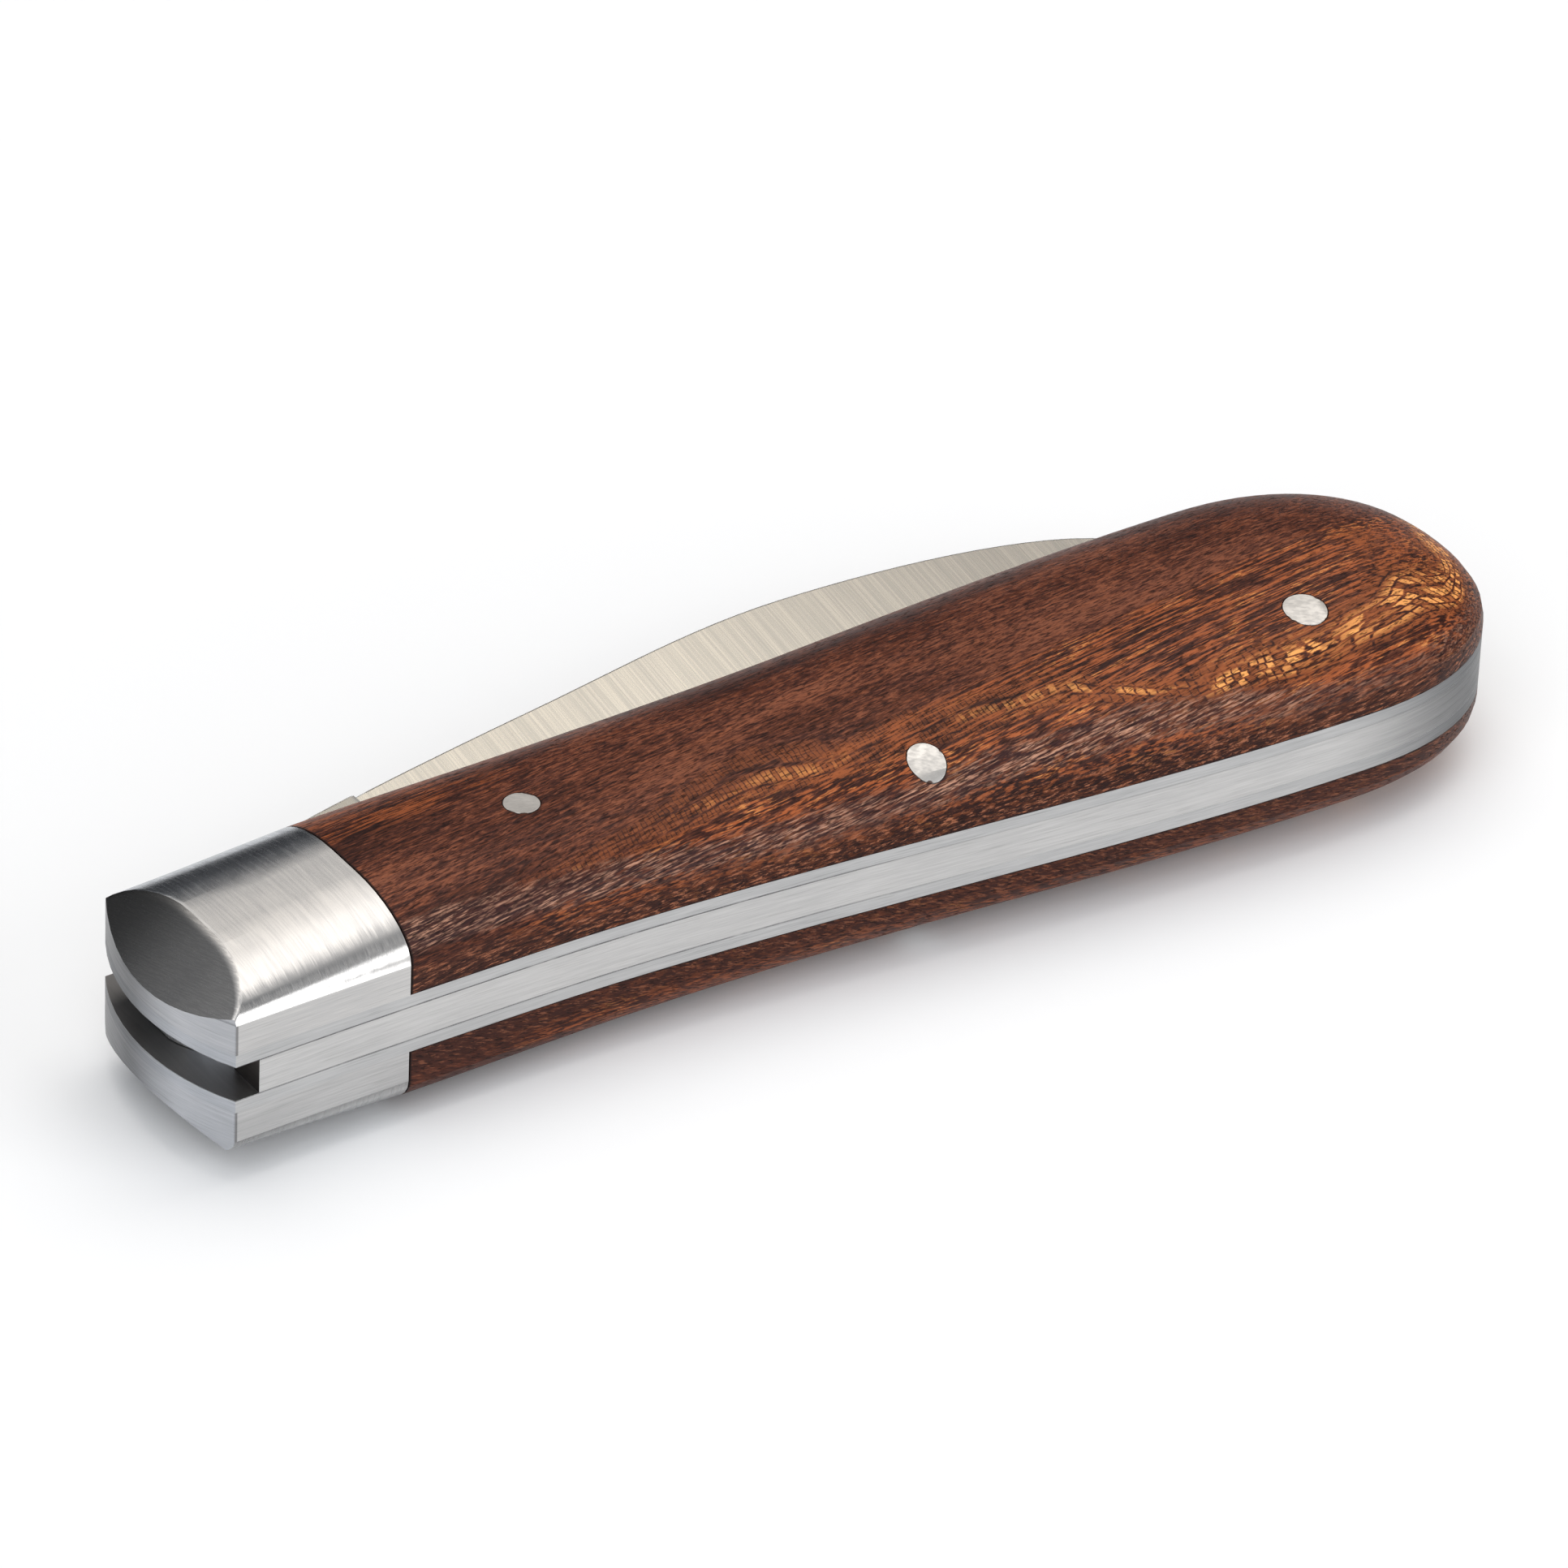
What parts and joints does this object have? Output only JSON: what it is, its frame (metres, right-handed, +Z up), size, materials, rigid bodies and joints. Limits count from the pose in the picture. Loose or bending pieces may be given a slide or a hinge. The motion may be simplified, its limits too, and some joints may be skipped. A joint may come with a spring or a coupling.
{
  "type": "folding pocket knife",
  "caption": "Slip joint pocket knife, closed, with a wide cross-ground blade, steel bolsters, back spring and liners, and crowned reddish hardwood scales.",
  "frame": {"origin": "middle of the footprint of the closed knife lying on its side, at the height of the surface it lies on", "axes": "+X along the handle from the bolsters to the butt, +Y towards the belly and the blade's spine, -Y towards the back spring, +Z up through the thickness"},
  "size_m": [0.1012, 0.0324, 0.0151],
  "materials": {
    "blade_steel": "fine cross grind from spine to edge, smooth tang",
    "spring_steel": "satin, brushed along its length",
    "liner_steel": "satin, brushed along its length",
    "bolster_steel": "brushed and softly polished over the crown",
    "pin_steel": "satin, ground flush",
    "hardwood": "oiled reddish brown hardwood with short interlocked grain"
  },
  "bodies": {
    "handle": {"back_spring": "spring_steel", "liner_upper": "liner_steel", "liner_lower": "liner_steel", "bolster_upper": "bolster_steel", "bolster_lower": "bolster_steel", "scale_upper": "hardwood", "scale_lower": "hardwood", "pivot_pin": "pin_steel", "rivet_front_upper": "pin_steel", "rivet_front_lower": "pin_steel", "rivet_middle": "pin_steel", "rivet_rear": "pin_steel"},
    "blade": {"blade": "blade_steel"}
  },
  "joints": [
    {"name": "blade_pivot", "type": "hinge", "parent": "handle", "child": "blade", "pos_m": [-0.04275, -0.00363, 0.00755], "axis": [0, 0, 1], "range_deg": [0, 180]}
  ]
}
